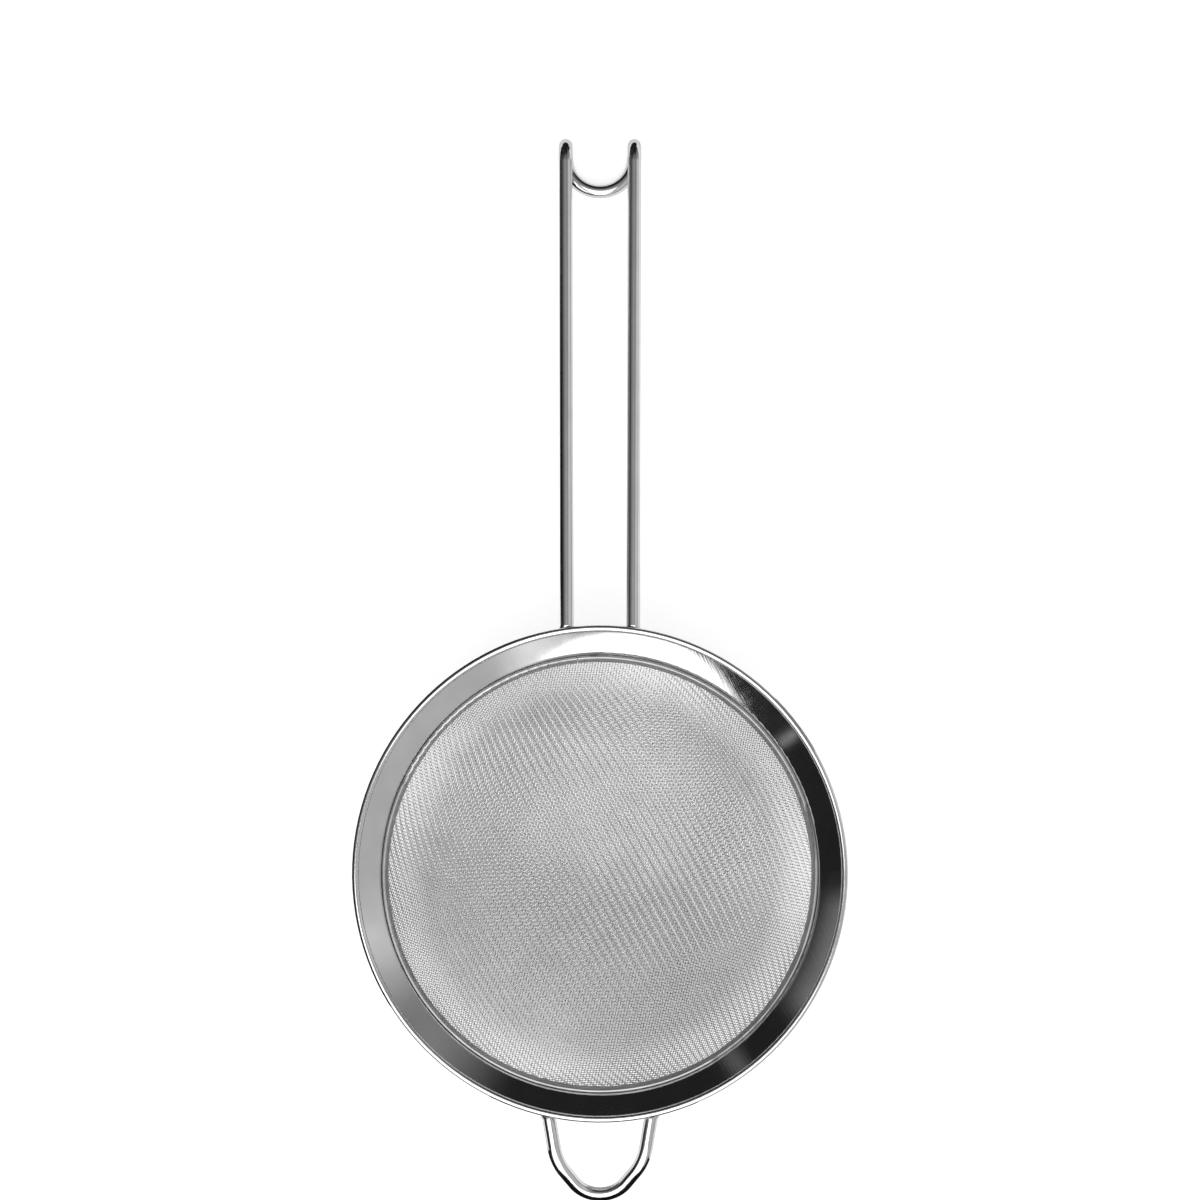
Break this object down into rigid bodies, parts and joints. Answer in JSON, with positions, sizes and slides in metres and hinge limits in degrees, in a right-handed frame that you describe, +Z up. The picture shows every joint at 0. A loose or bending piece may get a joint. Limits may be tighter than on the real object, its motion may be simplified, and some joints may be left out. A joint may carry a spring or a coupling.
{
  "type": "fine-mesh strainer",
  "caption": "Round-bowl fine-mesh kitchen strainer with a wide sloped steel collar, a two-leg wire handle ending in a hanging hook, and a wire rest loop opposite.",
  "frame": {"origin": "on the bowl's axis, in the plane in which the undersides of the handle legs and of the rest loop lie on a pot's rim", "axes": "+Z up out of the bowl's mouth; +Y along the handle toward its hook; +X to the right, seen from above with the handle away"},
  "size_m": [0.18, 0.3951, 0.0588],
  "materials": {
    "collar_steel": "polished stainless sheet with fine turning and rubbing marks",
    "ring_steel": "satin stainless strip",
    "wire_cloth": "bright drawn stainless wire in a two-over two-under twill weave",
    "wire_steel": "polished stainless wire",
    "weld_steel": "resistance-weld nugget, dull"
  },
  "bodies": {
    "root": {"rim_collar": "collar_steel", "clamp_ring": "ring_steel", "mesh_bowl": "wire_cloth", "handle_wire": "wire_steel", "rest_loop": "wire_steel", "handle_welds": "weld_steel", "loop_welds": "weld_steel"}
  },
  "joints": []
}
